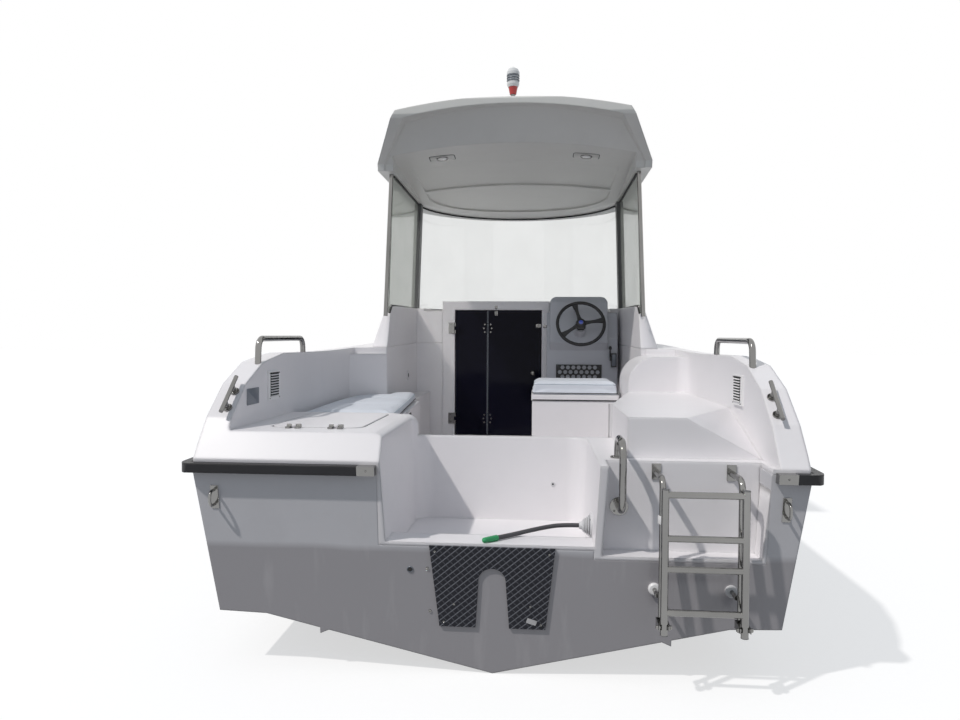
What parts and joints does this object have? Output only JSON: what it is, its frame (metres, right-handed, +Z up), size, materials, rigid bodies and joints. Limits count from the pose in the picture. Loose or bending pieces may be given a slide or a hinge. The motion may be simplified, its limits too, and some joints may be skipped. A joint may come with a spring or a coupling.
{
  "type": "pilothouse boat",
  "caption": "Small open-backed pilothouse motorboat with an engine well, a folding swim ladder, bench lockers, a folding cabin door and a helm with a wheel.",
  "frame": {"origin": "on the waterline, on the centreline, amidships", "axes": "+Y to the bow, +X to starboard, +Z up"},
  "size_m": [2.2202, 5.5448, 2.772],
  "materials": {
    "gelcoat_grey": "satin gelcoat",
    "gelcoat_white": "satin gelcoat",
    "roof_white": "satin gelcoat",
    "clear_glass": "clear",
    "black_frame": "satin",
    "stainless": "polished",
    "rail_charcoal": "matt",
    "smoked_black": "gloss",
    "black_plastic": "matt",
    "console_grey": "satin",
    "pad_slate": "grooved",
    "cushion_blue_grey": "coated cloth",
    "lamp_clear": "clear",
    "lamp_red": "gloss",
    "cable_grey": "matt",
    "tape_green": "matt",
    "roller_black": "matt"
  },
  "bodies": {
    "boat": {"hull": "gelcoat_grey", "deck": "gelcoat_white", "pilothouse": "gelcoat_white", "roof": "roof_white", "windscreen": "clear_glass", "side_window_starboard": "clear_glass", "side_window_port": "clear_glass", "pillar_starboard": "black_frame", "pillar_port": "black_frame", "post_starboard": "stainless", "post_port": "stainless", "light_stem": "stainless", "light_band": "lamp_red", "light_lamp": "lamp_clear", "rub_rail": "rail_charcoal", "rail_caps": "stainless", "door_frame": "gelcoat_white", "door_hinges": "stainless", "console": "console_grey", "helm_seat_box": "gelcoat_white", "locker_hinges": "stainless", "bench_cushion": "cushion_blue_grey", "engine_pad": "pad_slate", "ladder_frame": "stainless", "grab_handle": "stainless", "cleat_starboard": "stainless", "cleat_port": "stainless", "side_rail_starboard": "stainless", "side_rail_port": "stainless", "pulpit": "stainless", "roller_bracket": "stainless", "hatch_hinges": "stainless", "vent_starboard": "gelcoat_white", "vent_port": "gelcoat_white", "pocket": "black_plastic", "control_box": "black_plastic", "rigging_boot": "gelcoat_white", "steering_cable": "cable_grey", "cable_end": "tape_green", "stern_eyes": "stainless"},
    "door_leaf_port_body": {"door_leaf_port": "smoked_black"},
    "door_leaf_starboard_body": {"door_leaf_starboard": "smoked_black"},
    "steering_wheel_body": {"steering_wheel": "black_plastic"},
    "helm_seat_lid_body": {"helm_seat_lid": "gelcoat_white", "helm_cushion": "cushion_blue_grey"},
    "locker_lid_body": {"locker_lid": "gelcoat_white"},
    "ladder_steps_body": {"ladder_steps": "stainless"},
    "bow_roller_body": {"bow_roller": "roller_black"},
    "hatch_lid_body": {"hatch_lid": "smoked_black"}
  },
  "joints": [
    {"name": "door_leaf_port_swing", "type": "hinge", "parent": "boat", "child": "door_leaf_port_body", "pos_m": [-0.438, 0.39, 0.7], "axis": [0, 0, -1], "range_deg": [0, 95]},
    {"name": "door_leaf_starboard_fold", "type": "hinge", "parent": "door_leaf_port_body", "child": "door_leaf_starboard_body", "pos_m": [-0.205, 0.426, 0.7], "axis": [0, 0, 1], "range_deg": [0, 140]},
    {"name": "steering_wheel_turn", "type": "hinge", "parent": "boat", "child": "steering_wheel_body", "pos_m": [0.44, 0.14, 1.06], "axis": [0, -0.9063, 0.4226], "range_deg": [-540, 540]},
    {"name": "helm_seat_lid_lift", "type": "hinge", "parent": "boat", "child": "helm_seat_lid_body", "pos_m": [0.37, -0.106, 0.6133], "axis": [-1, 0, 0], "range_deg": [0, 80]},
    {"name": "locker_lid_lift", "type": "hinge", "parent": "boat", "child": "locker_lid_body", "pos_m": [-0.675, -2.124, 0.623], "axis": [1, 0, 0], "range_deg": [0, 95]},
    {"name": "ladder_steps_fold", "type": "hinge", "parent": "boat", "child": "ladder_steps_body", "pos_m": [0.7035, -2.35737, 0.005], "axis": [1, 0, 0], "range_deg": [0, 165]},
    {"name": "bow_roller_turn", "type": "hinge", "parent": "boat", "child": "bow_roller_body", "pos_m": [0, 3.14, 1.04], "axis": [1, 0, 0], "continuous": true},
    {"name": "hatch_lid_lift", "type": "hinge", "parent": "boat", "child": "hatch_lid_body", "pos_m": [0, 2.16735, 1.07424], "axis": [-1, 0, 0], "range_deg": [0, 80]}
  ]
}
